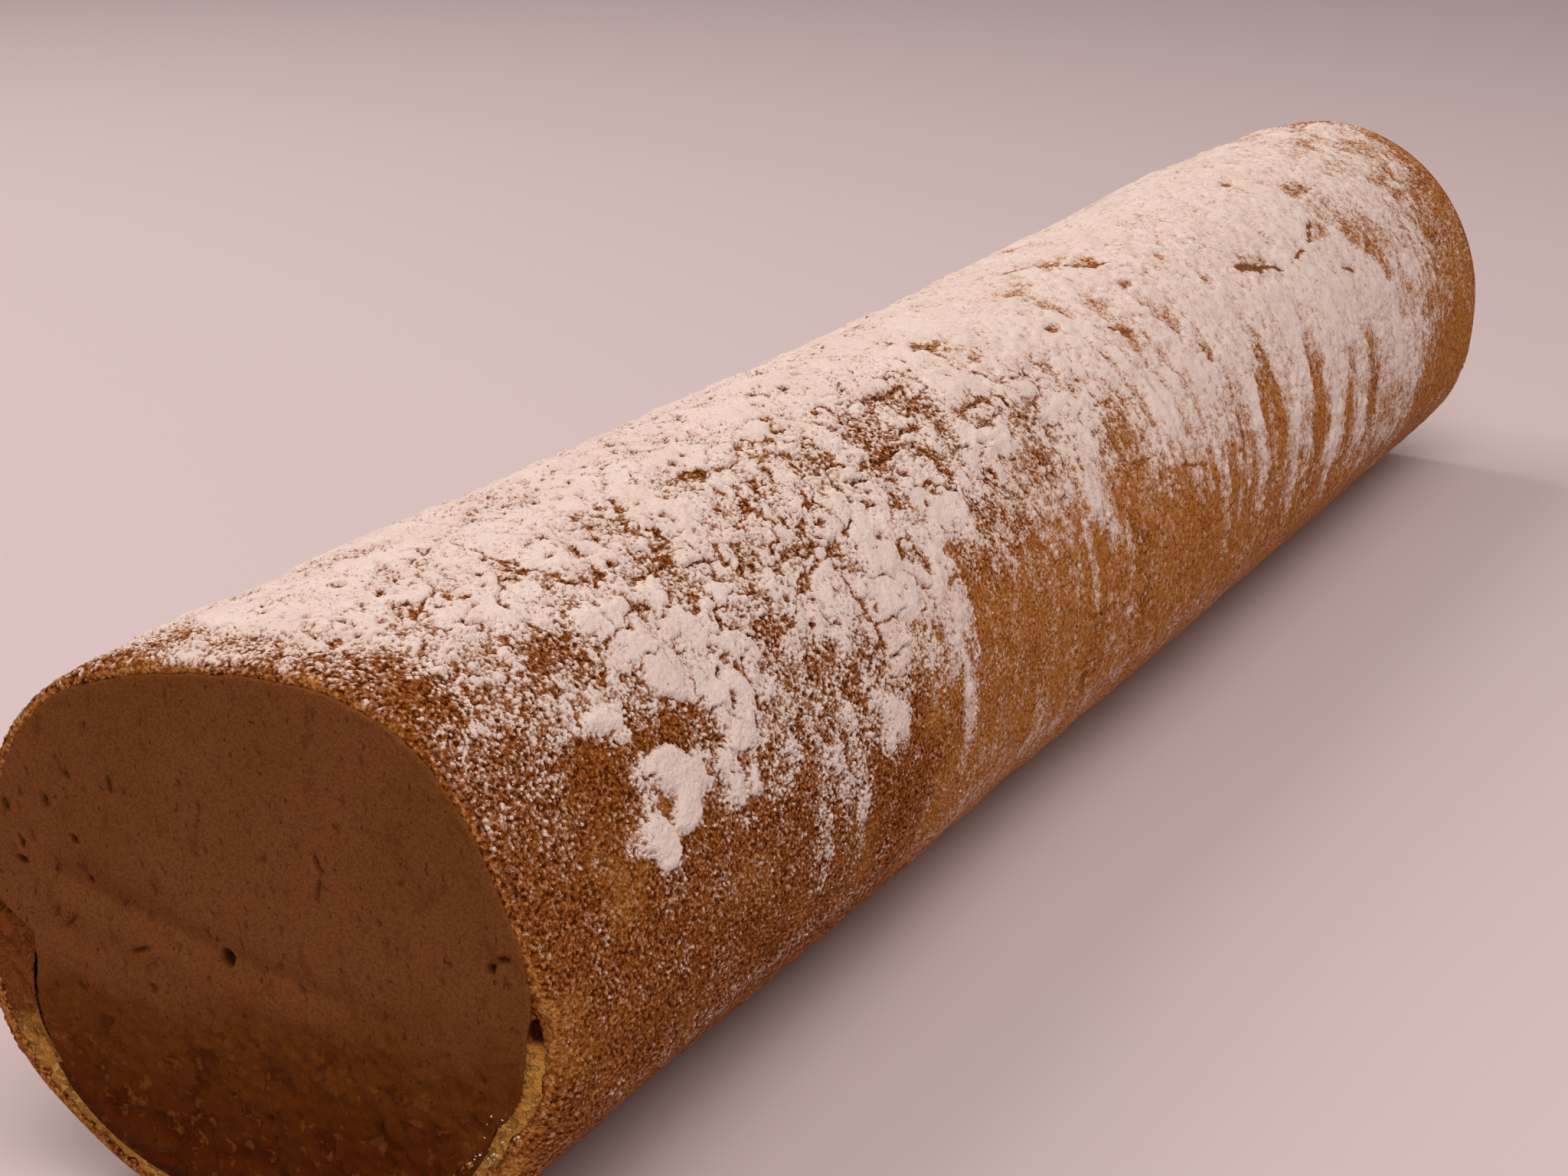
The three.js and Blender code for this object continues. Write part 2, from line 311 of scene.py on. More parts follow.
# Thick dabs and rubbed places: distance along, turn, half length, half turn, change of cover
SUGAR_DABS = (
    (35.5, 151.6, 3.5, 3.2, 0.85), (39.6, 156.6, 3.3, 3.6, 0.85), (36.6, 161, 3.1, 3.4, 0.8),
    (28.4, 161, 4.4, 2.9, 0.85), (29.5, 165.6, 3, 3.3, 0.8), (32.4, 156.8, 1.1, 1.3, -0.45),
    (29, 139.5, 3.2, 1.8, 0.36), (41.5, 149, 4.5, 2.6, -0.38), (47, 152, 3, 2.5, -0.25),
    (25, 145, 5, 4, -0.34), (35, 146, 8, 2.6, -0.45), (51, 134, 7, 11, 0.16), (53, 154.5, 3.4, 3.2, 0.45),
    (48, 160, 2.2, 4.5, 0.32), (52.3, 163.5, 1.5, 3.2, 0.42), (90, 171, 4.2, 5.5, 0.5),
    (112, 171, 3.2, 7, 0.34), (115, 182, 2.6, 7, 0.45), (107, 152, 10, 9, 0.14), (98, 145, 9, 6, 0.1),
    (126, 141, 5, 6, 0.25), (68, 184, 2.4, 14, 0.26), (74, 176, 1.8, 10, 0.26), (79, 188, 1.6, 12, 0.22),
    (165, 168, 1.4, 12, 0.34), (170, 156, 2.2, 5, 0.4), (205, 150, 1.8, 12, 0.26),
    (180, 178, 1.2, 12, 0.22), (225, 178, 2, 12, 0.34), (245, 170, 3.6, 20, 0.34), (266, 184, 2.6, 18, 0.3),
    (290, 184, 2.8, 14, 0.26), (308, 188, 3, 12, 0.22), (145, 200, 3, 12, 0.2), (29, 126, 6.5, 5, -0.34),
    (6, 121, 5, 2.5, -0.22), (36, 139, 4.5, 5, -0.28), (22, 148, 4, 8, -0.22), (70, 141, 6, 10, -0.05),
    (76, 153, 5, 9, -0.1), (64, 160, 4, 8, 0.04), (82, 160, 3.5, 5, -0.22), (87, 104, 3, 2.4, -0.28),
    (84, 116, 4, 5, -0.16), (103, 115, 3, 5, -0.22), (100, 175, 4, 8, -0.25), (127, 112, 5, 3, -0.1),
    (128, 103, 4, 3, -0.12), (150, 107, 4, 3, -0.16), (145, 116, 4, 3.5, -0.08), (143, 133, 3, 8, -0.08),
    (137, 146, 4, 5, -0.04), (163, 92, 3, 4, -0.3), (167, 100, 3.4, 5, -0.32), (171, 109, 3, 4, -0.22),
    (208, 97, 5, 3, -0.46), (206, 107, 2.8, 6, -0.36), (217, 114, 3, 4, -0.38), (228, 93, 6, 2.6, -0.44),
    (235, 100, 5, 3, -0.46), (253, 111, 1.9, 1.7, -0.66), (258, 123, 2.4, 3, -0.32), (215, 124, 2, 9, -0.3),
    (231, 126, 3, 9, -0.28), (195, 138, 3, 5, -0.3), (190, 145, 5, 6, -0.24), (182, 127, 2, 8, -0.2),
    (255, 160, 6, 17, -0.48), (281, 168, 4.5, 18, -0.52), (300, 180, 3, 9, -0.32),
    (317, 175, 4.5, 13, -0.46), (305, 166, 5, 4, -0.26), (326, 113, 5.5, 4, -0.46),
    (330, 127, 13, 9, -0.22), (341, 141, 9, 10, -0.32), (368, 135, 12, 14, -0.14), (355, 100, 9, 3, -0.2),
    (372, 95, 9, 3, -0.14), (350, 113, 8, 3, -0.16), (376, 108, 8, 4, -0.14), (345, 160, 7, 6, -0.28),
    (310, 98.5, 2.2, 1.6, -0.56), (315, 128, 5, 3, -0.24), (280, 127, 6, 3, -0.16),
    (197, 114.5, 2, 1.7, -0.6), (233, 113.5, 2.4, 1.6, -0.5), (235, 140.5, 2, 3.2, -0.46),
    (336, 143, 3.5, 8, -0.36), (329, 133, 3, 6, -0.3), (176, 74, 4, 4, -0.34), (201, 66, 3, 5, -0.38),
    (218, 55, 4, 9, -0.34), (243, 72, 5, 3, -0.4), (236, 38, 3, 13, -0.42), (262, 30, 4, 15, -0.46),
    (284, 22, 3.4, 14, -0.44), (296, 63, 7, 3, -0.34), (322, 48, 8, 8, -0.3), (336, 70, 9, 4, -0.26),
    (352, 60, 8, 7, -0.24), (368, 72, 9, 4, -0.2), (160, 40, 3, 9, -0.3), (182, 24, 2.6, 12, 0.3),
    (224, 12, 3, 12, 0.34), (272, 6, 3, 14, 0.3))
# Cracks in the skin: distance along and turn of both ends, sideways wander, half width
CRACKS = (
    (1.5, 126, 1.3, 147, 0.3, 0.24), (1.3, 146, 1.3, 167, 0.3, 0.22), (108, 124, 114.5, 124.5, 1, 0.36),
    (117.5, 121, 124.5, 124, 1, 0.36), (125, 123.2, 130.5, 122.3, 1, 0.36),
    (130.5, 118.5, 137.5, 121, 1, 0.38), (151.5, 122, 159.5, 122.5, 1.1, 0.38),
    (140, 129, 145, 130, 0.9, 0.28), (146.5, 130.3, 152.5, 132, 0.9, 0.26),
    (91, 135.5, 97, 133.5, 1.2, 0.28), (97.5, 133.5, 103.5, 131.3, 1.2, 0.24),
    (64, 123, 71.5, 125, 1, 0.28), (270, 125, 282, 129.5, 0.6, 1.5), (279, 128.5, 289, 133, 0.8, 0.9),
    (296, 132, 303, 131, 0.8, 0.55), (306, 130, 317, 125, 1.2, 0.6), (78.5, 132.2, 84, 131, 1, 0.34),
    (181, 153.5, 199, 155.5, 1, 0.26), (183, 138, 194, 138.5, 0.7, 0.28), (204, 161, 217, 166, 0.8, 0.26),
    (15, 142, 24, 141, 0.6, 0.3), (52, 119, 62, 121, 0.9, 0.32), (121, 108, 122, 121, 0.8, 0.32),
    (108, 113, 112, 121, 0.6, 0.3), (140, 113, 143, 120, 0.7, 0.3), (86, 104, 104, 109, 1, 0.26),
    (128, 106, 150, 110, 1.2, 0.28), (150, 128, 159, 127, 0.6, 0.3), (92, 159, 99, 159.5, 0.6, 0.22),
    (40, 113, 50, 117, 0.9, 0.26), (57, 107, 63, 121, 0.9, 0.28), (211, 122, 217, 127, 0.5, 0.9),
    (216, 86, 228, 95, 1, 0.5), (227, 94, 239, 105, 1, 0.55), (313, 141, 320, 144.5, 0.5, 0.5),
    (150, 164, 160, 166, 0.6, 0.24), (70, 62, 84, 60, 0.9, 0.36), (92, 58, 103, 63, 1, 0.36),
    (186, 71, 192, 64, 0.7, 0.5), (250, 63, 258, 58, 0.8, 0.7))
# Thicker dust: cover, distances along and degrees from the crown between which it comes in
FOOT_DUST = ((0.22, 36, 14, 72, 48), (0.06, 130, 90, 105, 80), (0.30, 350, 374, 105, 66))
TURN_MM = 0.69  # length of one degree round the section
FAR_FROM, FAR_TO = 150, 205  # between these the loose sugar of the near half gives way to a film
BARE_DUST, MOST_COVER = 0.18, 1.7
# Layers of noise: weight, size, seed
SUGAR_ISLANDS = ((0.24, 10, 7), (0.24, 4.6, 8), (0.16, 2.2, 9))
SKIN_LUMPS = ((0.30, 14, 21), (0.20, 6, 22), (0.12, 2.8, 23))


def crack_mask(along, turn, widen):
    """1 on the middle line of a crack, falling as exp(-(offset / width)^2): each line runs straight
    between its ends plus a jagged sideways wander, and thins out at both ends."""
    degrees = turn_degrees(turn)
    mask = np.zeros_like(along)
    for number, (s0, t0, s1, t1, wander, width) in enumerate(CRACKS):
        run_s, run_t = s1 - s0, (t1 - t0) * TURN_MM
        span = math.hypot(run_s, run_t)
        off_s, off_t = along - s0, (degrees - t0) * TURN_MM
        share = (off_s * run_s + off_t * run_t) / span**2
        offset = (off_t * run_s - off_s * run_t) / span
        near = (share > 0) & (share < 1) & (np.abs(offset) < 4 * wander + 6)
        line = np.stack([share[near] * span, np.full(near.sum(), 40.0 * number), np.zeros(near.sum())], -1)
        jag = wander * rough_sum(line, (0.8, 5.5, 12), (0.45, 1.7, 13))
        thin = widen * width * np.sin(np.pi * share[near]) ** 0.5 * (0.8 + 0.5 * rough_noise(line, 3.0, 14))
        mask[near] = np.maximum(mask[near], bell(offset[near], jag, thin + 0.02))
    return mask


def sugar_cover(along, turn, walk, points):
    """Cover of icing sugar, 0 bare, 1 solid, more in a dab: thick on the crown down to an edge read for each
    flank and torn by noise; broken into islands and fine lines on the near half, streaked round the far half;
    never less than a thin dust; changed by dabs and rubs, torn along the cracks and thinner at the rims."""
    degrees = turn_degrees(turn)
    from_crown = np.abs(degrees - 90)
    edge, soft = (np.where(degrees >= 90, read_table(SUGAR_EDGE_FRONT, along, column),
                           read_table(SUGAR_EDGE_BACK, along, column)) for column in (1, 2))
    round_roll = drawn_out(along, walk, 0.10)
    back_side = ease(95, 70, degrees)
    shifted = along + 34 * back_side * rough_noise(points, 38, 26)
    far = ease(FAR_FROM - 25 * back_side, FAR_TO + 25 * back_side, shifted)
    broken = ease(2, 30, from_crown) * (1 - far)
    end = ease(338, 372, along)
    torn = rough_sum(points, (4, 17, 3), (4, 6, 4))
    torn += ease(50, 110, along) * rough_sum(round_roll, (5, 3.4, 5), (6, 9, 6))
    cover = 0.98 - 0.075 * (1 - far) - 0.09 * broken - 0.12 * end
    cover *= ease(soft, -soft, from_crown - (edge - 90) - torn)
    streaks = ease(0.05, 0.7, rough_noise(round_roll, 4.5, 18))
    streaks *= ease(22, 42, from_crown) * ease(275, 245, along)
    cover -= 0.26 * far * streaks * ease(0.3, 0.7, cover)
    spread = 0.25 + 0.25 * (1 - far) + 0.5 * broken + 0.6 * end + 1.8 * cover * (1 - cover)
    cover += np.clip(spread, 0, 1.1) * ease(0.02, 0.25, cover) * rough_sum(points, *SUGAR_ISLANDS)
    lines = np.abs(rough_sum(points, (1, 8, 19), (0.25, 2.0, 20)))
    lines = lines + 0.3 * back_side * ease(-0.3, 0.2, rough_noise(points, 15, 27))
    gaps = 0.55 * ease(0.085, 0.02, lines) * ease(-8, 12, from_crown)
    thin = ease(-0.1, 0.6, rough_noise(points, 14, 25)) * ease(70, 45, from_crown) * ease(6, 20, from_crown)
    cover -= (1 - far) * ease(0.5, 0.8, cover) * (gaps + 0.13 * thin)
    half_open = 4 * np.clip(cover * (1 - cover), 0, 1)
    cover += 0.20 * half_open * far * ease(35, 60, from_crown) * rough_noise(round_roll, 2.6, 15)
    foot = 0.16 * bell(from_crown, 116, 6) * ease(10, 40, along)
    foot = foot + 0.11 * ease(95, 125, along) * ease(290, 250, along)
    for dust_cover, s0, s1, from0, from1 in FOOT_DUST:
        foot = foot + dust_cover * ease(s0, s1, along) * ease(from0, from1, from_crown)
    cover = np.maximum(cover, BARE_DUST + 0.13 * rough_noise(points, 6, 16) - 0.08 * far + foot)
    tug_s, tug_t = 0.48 * rough_noise(points, 7, 17), 3.4 / 6 * rough_noise(points, 6, 10)
    for s, t, half_s, half_t, change in SUGAR_DABS:
        reach = np.hypot((along - s) / half_s + tug_s, (degrees - t) / half_t + tug_t)
        cover = cover + change * ease(1.5, 0.5, reach)
    beside_crack = crack_mask(along, turn, 3.2) * ease(4, 8, along)
    cover = cover - 0.34 * beside_crack * ease(-0.5, 0.3, rough_noise(points, 2.2, 28))
    rim = np.minimum(along - CRUST_FRONT, (LENGTH - along - 1.1) * 1.2)
    cover *= 0.76 * ease(-0.6, 0.6, rim) + 0.24 * ease(0.5, 17.0, rim + 4.0 * rough_noise(points, 5, 11))
    return np.clip(cover, 0.0, MOST_COVER)


def wiped_share(along, turn):
    """1 where the powder was wiped to a thin film, 0 where it lies loose: the flanks beyond the near
    third, and partly the whole far half."""
    from_crown = np.abs(turn_degrees(turn) - 90)
    return np.maximum(ease(40, 75, from_crown) * ease(70, 140, along), 0.75 * ease(FAR_FROM, 220, along))


def crust_relief(along, walk, points, from_cut):
    """Height of the skin over its smooth outline: noise of 14, 6 and 2.8 mm, and soft pleats that run
    round the far half. It fades out at the cuts and on the underside."""
    pleats = 0.20 * rough_noise(drawn_out(along, walk, 0.15), 11, 24) * ease(130, 220, along)
    return (rough_sum(points, *SKIN_LUMPS) + pleats) * ease(0.2, 3.0, from_cut) * ease(0.5, 5, points[..., 2])


CRUST_AROUND, CRUST_ROWS, UNDER_ROWS, SKIN_THICK, CRACK_DEEP = 224, 250, 7, 0.7, 0.35
turns = even_turns(CRUST_AROUND)
front_edge = front_line(turns)
rim_steps = RIM_RUN * np.array([0.0, 0.12, 0.3, 0.55, 0.8])
inner_run = np.linspace(RIM_RUN, CRUST_BACK - RIM_RUN - front_edge.max(), CRUST_ROWS)
along = np.concatenate([
    front_edge + np.concatenate([rim_steps, inner_run])[:, None],
    np.broadcast_to(CRUST_BACK - rim_steps[::-1][:, None], (len(rim_steps), CRUST_AROUND))])
turn = np.broadcast_to(turns, along.shape)
walk, from_cut, smooth = skin_at(along, turn)
cover, crack = sugar_cover(along, turn, walk, smooth), crack_mask(along, turn, 2.2)
outer = crust_points(turn, along, from_cut, crust_relief(along, walk, smooth, from_cut) - CRACK_DEEP * crack)
under_share = np.linspace(1.0, 0.0, UNDER_ROWS)[:, None]
under_along = front_edge + (CRUST_BACK - front_edge) * under_share
under_cut = np.minimum(under_along - front_edge, CRUST_BACK - under_along)
front_lip = 0.6 + 1.6 * bell(section_degrees(turns), 175, 6)
lip = SKIN_THICK + 0.5 * (under_share == 1) + front_lip * (under_share == 0)
under = placed(*moved_out(*crust_outline(turns, under_along, under_cut), -lip), under_along)
crust = tube_piece("crust", np.concatenate([outer, under]))
wiped = np.maximum(wiped_share(along, turn), 0.8 * ease(2.2, 0.4, from_cut))
dusting = np.minimum(cover - 0.04 * (1 - wiped), 0.46 - 0.13 * ease(0.55, 0.8, cover) + 0.75 * wiped)
for label, values in (("sugar", dusting), ("crack", crack), ("wiped", wiped)):
    mark(crust, label, np.concatenate([values, np.zeros(under_along.shape)]))


def feed(socket, value):
    """Joins another socket to a socket, or sets it to a plain value."""
    if isinstance(value, bpy.types.NodeSocket):
        socket.id_data.links.new(value, socket)
    else:
        socket.default_value = value


def add_node(beside, kind, inputs=(), **settings):
    """A shader node in the tree of the socket beside it; each input is a socket to join or a value to set."""
    made = beside.id_data.nodes.new(kind)
    for name, value in settings.items():
        setattr(made, name, value)
    for key, value in dict(inputs).items():
        feed(made.inputs[key], value)
    return made


def sums(operation, a, b=0.0, c=0.0):
    """One step of arithmetic on sockets or numbers."""
    return add_node(a, "ShaderNodeMath", {0: a, 1: b, 2: c}, operation=operation).outputs[0]


def varied(value, noise, weight):
    """A value plus weight times how far a noise stands over its middle, 0.5."""
    return sums("MULTIPLY_ADD", sums("SUBTRACT", noise, 0.5), weight, value)


def between(share, a, b):
    """The number a turned into b by share: a + (b - a) * share."""
    return sums("MULTIPLY_ADD", sums("SUBTRACT", b, a), share, a)


def eased(value, low, high, to_low=0.0, to_high=1.0):
    """A value carried smoothly from low..high to to_low..to_high."""
    step = add_node(value, "ShaderNodeMapRange", {"Value": value, "From Min": low, "From Max": high,
                    "To Min": to_low, "To Max": to_high}, interpolation_type="SMOOTHSTEP")
    return step.outputs["Result"]


def blended(share, a, b):
    """Colour a turned into colour b by share; a plain colour is three numbers."""
    a, b = ((*colour, 1) if isinstance(colour, tuple) else colour for colour in (a, b))
    return add_node(share, "ShaderNodeMix", {0: share, 6: a, 7: b}, data_type="RGBA").outputs[2]


def cloudy(vector, per_metre, detail=2.0, rough=0.6):
    """Noise with so many clouds to the metre."""
    return add_node(vector, "ShaderNodeTexNoise", {"Vector": vector, "Scale": per_metre, "Detail": detail,
                    "Roughness": rough}).outputs["Fac"]


def marked(spot, name):
    """The number that a piece keeps at each point under a name."""
    return add_node(spot, "ShaderNodeAttribute", attribute_name=name).outputs["Fac"]


def new_group(name, inputs, outputs):
    """An empty shader node group, the sockets to read and those to fill. A socket carries a number, unless it
    is called Vector or Color."""
    group = bpy.data.node_groups.new(name, "ShaderNodeTree")
    for way, labels in (("INPUT", inputs), ("OUTPUT", outputs)):
        for label in labels:
            kind = label if label in ("Vector", "Color") else "Float"
            group.interface.new_socket(label, in_out=way, socket_type="NodeSocket" + kind)
    read = list(group.nodes.new("NodeGroupInput").outputs)[:len(inputs)]
    return group, read, group.nodes.new("NodeGroupOutput").inputs


def new_finish(name):
    """An empty node material and its Object coordinates."""
    finish = bpy.data.materials.new(name)
    finish.use_nodes = True
    shader = finish.node_tree.nodes["Principled BSDF"].inputs
    return finish, add_node(shader["Normal"], "ShaderNodeTexCoord").outputs["Object"]


def dress(colour, rough, gloss, level=None, strength=1.0, deep=0.0005):
    """Gives a material's Principled shader its colour, roughness and gloss, and a level as fine relief."""
    shader = colour.id_data.nodes["Principled BSDF"].inputs
    for label, value in (("Base Color", colour), ("Roughness", rough), ("Specular IOR Level", gloss)):
        feed(shader[label], value)
    if level is not None:
        bump = add_node(colour, "ShaderNodeBump", {"Height": level, "Strength": strength, "Distance": deep})
        feed(shader["Normal"], bump.outputs["Normal"])


# Baked grain: uneven grains packed side by side, high in their middles, and a finer grain
grain, (spot, per_metre), grain_out = new_group(
    "baked_grain", ("Vector", "Grains per metre"), ("Height", "Fine"))
cells = add_node(spot, "ShaderNodeTexVoronoi", {"Vector": spot, "Scale": per_metre}).outputs["Distance"]
clumps = cloudy(spot, sums("MULTIPLY", per_metre, 0.8), 2.5, 0.62)
clumps = sums("MULTIPLY", eased(clumps, 0.30, 0.70), 0.60)
grain_height = sums("MULTIPLY_ADD", eased(cells, 0.05, 0.80, 1.0, 0.0), 0.40, clumps)
feed(grain_out["Height"], grain_height)
feed(grain_out["Fine"], cloudy(spot, sums("MULTIPLY", per_metre, 2.3), 2.0, 0.5))

# Sugar dust: white powder on the grains. Tops catch it first, a thin film comes next, gaps stay brown
dust, (spot, lying_sugar, wiped_part, crack_part, pebble), dust_out = new_group(
    "sugar_dust", ("Vector", "Sugar", "Wiped", "Crack", "Grain"), ("Color", "White", "Height"))
fine = cloudy(spot, 4200.0)
blotch = cloudy(spot, 330.0, 3.0)
broad = cloudy(spot, 70.0, 3.0, 0.55)
patch = cloudy(spot, 120.0, 2.0, 0.5)
strokes = add_node(spot, "ShaderNodeMapping", {"Vector": spot, "Scale": (590, 38, 38)}).outputs["Vector"]
amount = varied(varied(lying_sugar, fine, 0.45), blotch, 0.45)
amount = varied(amount, cloudy(strokes, 1.0, 3.0), sums("MULTIPLY", wiped_part, 0.75))
split = eased(sums("MULTIPLY", crack_part, eased(fine, 0.2, 0.6, 0.5, 1.2)), 0.45, 0.85)
amount = sums("SUBTRACT", amount, sums("MULTIPLY", split, 0.8))
film = eased(amount, 0.22, 0.56, 0.0, 0.82)
white = between(wiped_part, eased(amount, 0.46, 0.69), eased(amount, 0.42, 0.95))
# The skin is painted darker in the gaps between its grains and lighter on their tops: painted shade and
# painted highlight over its own browned and golden tones.
hollow, ridge = eased(pebble, 0.18, 0.46), eased(pebble, 0.46, 0.80)
browned, golden = (blended(ridge, blended(hollow, low, middle), high) for low, middle, high in (
    ((0.080, 0.016, 0.002), (0.310, 0.095, 0.016), (0.600, 0.270, 0.095)),
    ((0.250, 0.078, 0.012), (0.450, 0.178, 0.039), (0.580, 0.280, 0.090))))
skin_colour = blended(eased(varied(broad, wiped_part, 0.32), 0.38, 0.62), browned, golden)
dark_split = blended(wiped_part, (0.150, 0.048, 0.014), (0.270, 0.118, 0.046))
dusted = blended(film, blended(split, skin_colour, dark_split), (0.64, 0.395, 0.265))
snow = blended(eased(patch, 0.35, 0.65), (0.86, 0.755, 0.70), (0.90, 0.81, 0.76))
split_depth = sums("MULTIPLY", split, eased(wiped_part, 0.3, 0.8, -0.25, -0.1))
powder_level = sums("MULTIPLY_ADD", white, 0.25, sums("MULTIPLY", fine, 0.35))
feed(dust_out["Color"], blended(white, dusted, snow))
feed(dust_out["White"], white)
feed(dust_out["Height"], sums("ADD", split_depth, powder_level))


def grained(spot, per_metre):
    """What the baked grain group puts out, with so many grains to the metre."""
    inputs = {"Vector": spot, "Grains per metre": per_metre}
    return add_node(spot, "ShaderNodeGroup", inputs, node_tree=grain).outputs


def sugared_finish(name, fine_weights, beaded):
    """A crust or sugar material: the dust group reads the piece's marks and gives colour, roughness and fine
    relief. Fine baked grain, which powder fills and wiping flattens, moves the sugar by its weights, loose
    and wiped. On a beaded mesh the beads' own heights take part in the colour."""
    finish, spot = new_finish(name)
    wiped, pebbles = marked(spot, "wiped"), grained(spot, 1900.0)["Height"]
    sugar = varied(marked(spot, "sugar"), pebbles, eased(wiped, 0.0, 1.0, *fine_weights))
    pebble = pebbles
    if beaded:
        # On a beaded mesh the beads' heights place the painted shade in their gaps and the painted highlight
        # on their tops.
        pebble = between(eased(wiped, 0.0, 1.0, 0.35, 0.50), pebbles, marked(spot, "grain"))
    lying = add_node(spot, "ShaderNodeGroup", {"Vector": spot, "Sugar": sugar, "Wiped": wiped,
                     "Crack": marked(spot, "crack"), "Grain": pebble}, node_tree=dust).outputs
    white, unwiped = lying["White"], eased(wiped, 0.0, 1.0, 1.0, 0.45)
    grain_share = sums("MULTIPLY", unwiped, eased(white, 0.0, 1.0, 1.0, 0.3))
    level = sums("MULTIPLY_ADD", pebbles, grain_share, lying["Height"])
    dress(lying["Color"], eased(white, 0.0, 1.0, 0.62, 0.95), 0.03, level, 0.9)
    return finish


crust.data.materials.append(sugared_finish("sugared_crust", (0.75, 0.62), beaded=False))
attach(crust, "root")
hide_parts("sponge")

# The crumb: the pale yellow inside of the same sponge sheet, seen where the knife cut it. It is full of
# small air holes. At the front it is bare along the lower arc and lies behind the chocolate smear above.
SPONGE, CLEARANCE, SMEAR = 5.0, 0.3, 0.8
CRUMB_AROUND, FACE_STEPS = 720, 17
UNDER_SKIN, BURIED = 0.5, 2.6  # how far inside the skin the crumb ends at the cuts and between them
LEAST_FLANGE, HIDDEN_STAIN = 4.6, 0.2
# The hole torn beside the smear: across, height, half width, half height, depth
TORN_HOLE = (-36.9, 37.6, 1.35, 1.75, 1.7)
# How far the chocolate's outer line lies inside the crust at the front cut: section angle, inset
SMEAR_LINE = (
    (-90, 5.3), (-40, 5.4), (-20, 7.2), (-10, 8.3), (-2, 7.8), (2, 5), (7, 1.4), (20, 0.6), (37, 0.4),
    (54, 0.5), (60, 0.8), (67, 0.9), (86, 0.8), (95, 0.7), (104, 0.8), (112, 0.8), (121, 0.6), (128, 0.6),
    (135, 0.75), (148, 0.7), (155, 0.7), (162, 0.7), (168, 0.8), (173, 1.4), (177, 2), (180, 2.5),
    (184.5, 2.9), (190, 3.2), (199, 2.9), (205, 2.8), (218, 3.4), (235, 4.6), (270, 5.3))
crumb_turns = even_turns(CRUMB_AROUND)
across = np.linspace(0, 1, FACE_STEPS)[:, None]
wall_y, wall_z = moved_out(*even_section(crumb_turns), -SPONGE)
rim_angle = section_degrees(crumb_turns)
smear_inset = read_table(SMEAR_LINE, rim_angle)
bare = bare_share(crumb_turns)


def cut_face(inner_y, inner_z, inner_along, outer_along, at_back):
    """The sheet's cut edge: points between its inner line and its skin, pushed in by noise and air holes,
    at the front also by one torn hole."""
    outer_y, outer_z = moved_out(*crust_outline(crumb_turns, outer_along, 0.1), -UNDER_SKIN)
    y, z = inner_y + (outer_y - inner_y) * across, inner_z + (outer_z - inner_z) * across
    base = inner_along + (outer_along - inner_along) * across
    points = placed(y, z, base)
    pits = 0.45 * ease(0.1, 0.7, rough_noise(points, 1.7, 41)) + 0.22 * rough_noise(points, 3.5, 42)
    if not at_back:
        hole_y, hole_z, half_y, half_z, depth = TORN_HOLE
        reach = np.hypot((y - hole_y) / half_y, (z - hole_z) / half_z) + 0.25 * rough_noise(points, 1.2, 43)
        pits = pits + depth * ease(1.2, 0.7, reach)
    pits = pits * ease(0, 0.12, across) * ease(1, 0.86, across)
    pushed = np.maximum(pits, -0.05)
    return placed(y, z, base - pushed if at_back else base + pushed), pits


flange_inset = np.maximum(smear_inset + 0.5 - 1.1 * ease(5.6, 6.8, smear_inset), LEAST_FLANGE)
flange_y, flange_z = moved_out(*crust_outline(crumb_turns, 0.0, 0.0), -flange_inset)
crumb_front = SMEAR + 0.35 - 0.7 * bare
crumb_edge = SMEAR + CLEARANCE + 0.3 * bare + 0.05
crumb_back = LENGTH - SMEAR - CLEARANCE - 0.1
front_face, front_pits = cut_face(flange_y, flange_z, crumb_front, crumb_edge, False)
back_face, back_pits = (grid[::-1] for grid in cut_face(wall_y, wall_z, crumb_back, crumb_back, True))
run = np.concatenate([[0.02], np.linspace(0.08, 0.92, 4), [0.98]])[:, None]
wall_along = crumb_edge + (crumb_back - crumb_edge) * run
skin_side = placed(*moved_out(*even_section(crumb_turns), -BURIED), wall_along)
core_side = placed(wall_y, wall_z, wall_along)[::-1]
behind_flange = placed(wall_y, wall_z, crumb_front + 0.75)[None]
crumb = tube_piece("crumb", np.concatenate([front_face, skin_side, back_face, core_side, behind_flange]))
# In the crevices beside the chocolate, at the left and at the lower right, the crumb is painted darker:
# painted shade.
crevice = ease(-34, -14, rim_angle) * ease(9, 2, rim_angle)
crevice = crevice + 0.6 * ease(172, 180, rim_angle) * ease(194, 184, rim_angle)
baked_and_crevice_shade = np.maximum(ease(0.66, 0.96, across), 0.75 * ease(0.25, 0.6, across) * (1 - bare))
baked_and_crevice_shade = np.maximum(baked_and_crevice_shade, 0.6 * ease(0.45, 0.15, across))
baked_and_crevice_shade = np.clip(np.maximum(baked_and_crevice_shade, crevice), 0, 1)
skin_grid, core_grid = np.zeros(skin_side.shape[:2]), np.zeros((len(core_side) + 1, CRUMB_AROUND))
hidden = np.full((len(back_face) + len(core_grid), CRUMB_AROUND), HIDDEN_STAIN)
mark(crumb, "baked_and_crevice_shade", np.concatenate([baked_and_crevice_shade, skin_grid + 1.0, hidden]))
mark(crumb, "hollow", np.concatenate([front_pits, skin_grid, back_pits, core_grid]))
sponge_crumb, spot = new_finish("sponge_crumb")
pores = grained(spot, 1100.0)
coarse, torn = cloudy(spot, 420.0, 3.0), marked(spot, "hollow")
# Darker in the small air holes between the crumb's grains: painted shade.
pit = sums("MULTIPLY", eased(pores["Height"], 0.55, 0.25), eased(coarse, 0.35, 0.60))
yellow = blended(eased(coarse, 0.3, 0.7), (0.540, 0.235, 0.036), (0.760, 0.440, 0.105))
